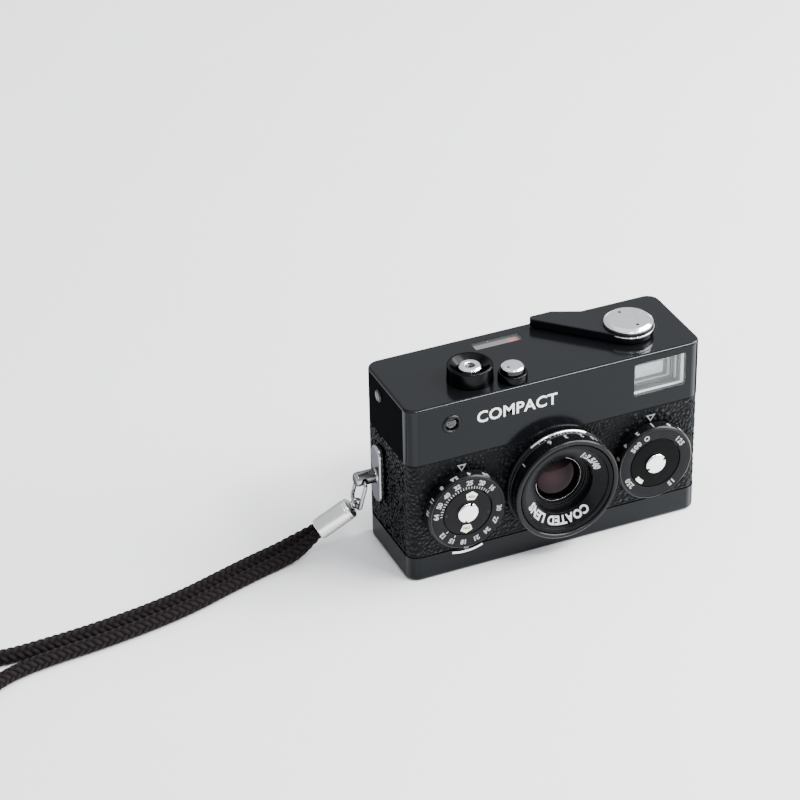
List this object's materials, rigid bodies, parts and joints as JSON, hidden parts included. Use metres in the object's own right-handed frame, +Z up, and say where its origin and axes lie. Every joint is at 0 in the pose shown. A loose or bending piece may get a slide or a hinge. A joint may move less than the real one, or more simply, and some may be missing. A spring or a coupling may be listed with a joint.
{
  "type": "compact film camera",
  "caption": "Pocket 35 mm viewfinder film camera with a collapsible lens, front exposure dials, top advance lever, slide-off back and a wrist strap.",
  "frame": {"origin": "middle of the flat base that the camera stands on", "axes": "+Z up, the lens looks along -Y, +X to the right of someone who faces the lens"},
  "size_m": [0.2865, 0.0504, 0.065],
  "materials": {
    "chassis_casting": "blackened casting",
    "blackened_metal": "matt black",
    "leatherette": "pebbled black leatherette",
    "black_enamel": "satin gloss black enamel",
    "black_anodised": "black anodised, white engraved figures",
    "chrome": "satin chrome",
    "plain_steel": "plain steel",
    "bare_aluminium": "brushed",
    "brass": "machined",
    "black_plastic": "matt",
    "red_plastic": "matt red",
    "clear_glass": "clear",
    "coated_glass": "single-coated, purple bloom",
    "braided_cord": "round braid, dark brown-black"
  },
  "bodies": {
    "camera": {"chassis": "chassis_casting", "pressure_plate": "blackened_metal", "front_leatherette": "leatherette", "top_cover": "black_enamel", "cover_screw_left": "blackened_metal", "cover_screw_right": "blackened_metal", "finder_window": "clear_glass", "finder_tunnel": "black_plastic", "finder_objective": "clear_glass", "finder_eyepiece": "clear_glass", "meter_window": "clear_glass", "meter_movement": "bare_aluminium", "cell_bezel": "black_anodised", "light_cell": "clear_glass", "battery": "plain_steel", "release_collar": "black_enamel", "lens_button_collar": "black_enamel", "lens_flange": "black_anodised", "strap_plate": "chrome", "strap_post": "plain_steel"},
    "release_button": {"release_button": "chrome"},
    "lens_button": {"lens_button": "chrome"},
    "advance_lever": {"advance_lever": "black_enamel", "lever_cap": "chrome", "advance_gear": "brass"},
    "transfer_shaft": {"transfer_shaft": "plain_steel"},
    "takeup_spool": {"takeup_spool": "black_plastic"},
    "film_sprocket": {"film_sprocket": "plain_steel"},
    "frame_counter": {"frame_counter_disc": "black_plastic"},
    "rewind_release": {"rewind_release_lever": "chrome"},
    "lens_tube": {"lens_tube": "chrome"},
    "lens_barrel": {"shutter_housing": "black_anodised", "lens_cell": "black_anodised", "aperture_blades": "blackened_metal", "rear_lens": "coated_glass"},
    "focus_ring": {"focus_ring": "black_anodised", "name_ring": "black_anodised", "front_lens": "coated_glass"},
    "aperture_dial": {"aperture_dial": "black_anodised", "aperture_dial_screw": "bare_aluminium"},
    "film_speed_disc": {"film_speed_disc": "black_anodised"},
    "speed_dial": {"shutter_speed_dial": "black_anodised", "speed_dial_screw": "bare_aluminium"},
    "film_type_disc": {"film_type_disc": "black_anodised"},
    "dial_lock": {"dial_lock_lever": "chrome"},
    "meter_needle": {"meter_needle": "red_plastic"},
    "follow_pointer": {"follow_pointer": "blackened_metal"},
    "back": {"back_cover": "black_enamel", "back_leatherette": "leatherette", "hot_shoe": "chrome", "shoe_contact": "plain_steel", "tripod_bush": "plain_steel", "counter_window": "clear_glass"},
    "latch": {"back_latch": "chrome"},
    "latch_wing": {"latch_wing": "chrome"},
    "rewind": {"rewind_shaft": "chrome"},
    "rewind_crank": {"rewind_crank": "chrome"},
    "strap_link": {"strap_link": "plain_steel"},
    "strap": {"strap_ferrule": "bare_aluminium", "wrist_cord": "braided_cord"}
  },
  "joints": [
    {"name": "release_press", "type": "slide", "parent": "camera", "child": "release_button", "axis": [0, 0, -1], "range_m": [0, 0.0023], "stiffness_N_per_m": 400, "springref_m": -0.001},
    {"name": "lens_button_press", "type": "slide", "parent": "camera", "child": "lens_button", "axis": [0, 0, -1], "range_m": [0, 0.0015], "stiffness_N_per_m": 400, "springref_m": -0.001},
    {"name": "lever_swing", "type": "hinge", "parent": "camera", "child": "advance_lever", "pos_m": [0.0304, -0.0021, 0.062], "axis": [0, 0, -1], "range_deg": [0, 130], "stiffness_Nm_per_rad": 0.01, "springref_deg": -17.19},
    {"name": "transfer_turn", "type": "hinge", "parent": "camera", "child": "transfer_shaft", "pos_m": [0.0164, -0.0021, 0.05], "axis": [0, 0, -1], "range_deg": [-221, 0]},
    {"name": "spool_turn", "type": "hinge", "parent": "camera", "child": "takeup_spool", "pos_m": [0.0304, -0.0021, 0.03], "axis": [0, 0, -1], "range_deg": [0, 131]},
    {"name": "sprocket_turn", "type": "hinge", "parent": "camera", "child": "film_sprocket", "pos_m": [0.02383, 0.00842, 0.03], "axis": [0, 0, -1], "range_deg": [-319, 0]},
    {"name": "counter_turn", "type": "hinge", "parent": "camera", "child": "frame_counter", "pos_m": [0.018, 0, 0.006], "axis": [0, 0, -1], "range_deg": [0, 9.2]},
    {"name": "rewind_release_turn", "type": "hinge", "parent": "camera", "child": "rewind_release", "pos_m": [0.012, 0.016, 0.047], "axis": [0, 1, 0], "range_deg": [0, 35]},
    {"name": "lens_slide", "type": "slide", "parent": "camera", "child": "lens_tube", "axis": [0, -1, 0], "range_m": [0, 0.017]},
    {"name": "lens_twist", "type": "hinge", "parent": "lens_tube", "child": "lens_barrel", "pos_m": [0, -0.016, 0.0246], "axis": [0, 1, 0], "range_deg": [0, 35]},
    {"name": "focus_turn", "type": "hinge", "parent": "lens_barrel", "child": "focus_ring", "pos_m": [0, -0.016, 0.0246], "axis": [0, 1, 0], "range_deg": [0, 110]},
    {"name": "aperture_turn", "type": "hinge", "parent": "camera", "child": "aperture_dial", "pos_m": [-0.0313, -0.016, 0.0234], "axis": [0, 1, 0], "range_deg": [0, 110]},
    {"name": "film_speed_turn", "type": "hinge", "parent": "aperture_dial", "child": "film_speed_disc", "pos_m": [-0.0313, -0.016, 0.0234], "axis": [0, 1, 0], "range_deg": [-90, 90]},
    {"name": "speed_turn", "type": "hinge", "parent": "camera", "child": "speed_dial", "pos_m": [0.0313, -0.016, 0.0234], "axis": [0, 1, 0], "range_deg": [-120, 120]},
    {"name": "film_type_turn", "type": "hinge", "parent": "speed_dial", "child": "film_type_disc", "pos_m": [0.0313, -0.016, 0.0234], "axis": [0, 1, 0], "continuous": true},
    {"name": "lock_press", "type": "slide", "parent": "camera", "child": "dial_lock", "axis": [0, 0, -1], "range_m": [0, 0.001], "stiffness_N_per_m": 300, "springref_m": -0.0005},
    {"name": "needle_swing", "type": "hinge", "parent": "camera", "child": "meter_needle", "pos_m": [-0.008, 0.003, 0.0573], "axis": [0, 0, 1], "range_deg": [-22, 22], "stiffness_Nm_per_rad": 0.00002},
    {"name": "follow_swing", "type": "hinge", "parent": "camera", "child": "follow_pointer", "pos_m": [-0.008, 0.003, 0.0565], "axis": [0, 0, 1], "range_deg": [-22.5, 0]},
    {"name": "back_slide", "type": "slide", "parent": "camera", "child": "back", "axis": [0, 0, -1], "range_m": [0, 0.04]},
    {"name": "latch_turn", "type": "hinge", "parent": "back", "child": "latch", "pos_m": [0.0406, 0, 0.002], "axis": [0, 0, -1], "range_deg": [0, 180]},
    {"name": "latch_wing_fold", "type": "hinge", "parent": "latch", "child": "latch_wing", "pos_m": [0.0406, 0.0012, 0.0008], "axis": [-1, 0, 0], "range_deg": [0, 90]},
    {"name": "rewind_turn", "type": "hinge", "parent": "back", "child": "rewind", "pos_m": [-0.033, 0.0004, 0.003], "axis": [0, 0, -1], "continuous": true},
    {"name": "crank_fold", "type": "hinge", "parent": "rewind", "child": "rewind_crank", "pos_m": [-0.0386, 0.0004, 0.00085], "axis": [0, 1, 0], "range_deg": [0, 90]},
    {"name": "link_swing", "type": "hinge", "parent": "camera", "child": "strap_link", "pos_m": [-0.0546, 0.005, 0.027], "axis": [0, 1, 0], "range_deg": [0, 40]},
    {"name": "ferrule_swing", "type": "hinge", "parent": "strap_link", "child": "strap", "pos_m": [-0.0563, 0.0064, 0.0175], "axis": [0, 1, 0], "range_deg": [0, 35]}
  ],
  "couplings": [
    {"joint": "transfer_turn", "follows": "lever_swing", "ratio": -1.6923},
    {"joint": "spool_turn", "follows": "lever_swing", "ratio": 1},
    {"joint": "sprocket_turn", "follows": "lever_swing", "ratio": -2.4444},
    {"joint": "counter_turn", "follows": "lever_swing", "ratio": 0.069},
    {"joint": "follow_swing", "follows": "aperture_turn", "ratio": -0.2}
  ]
}
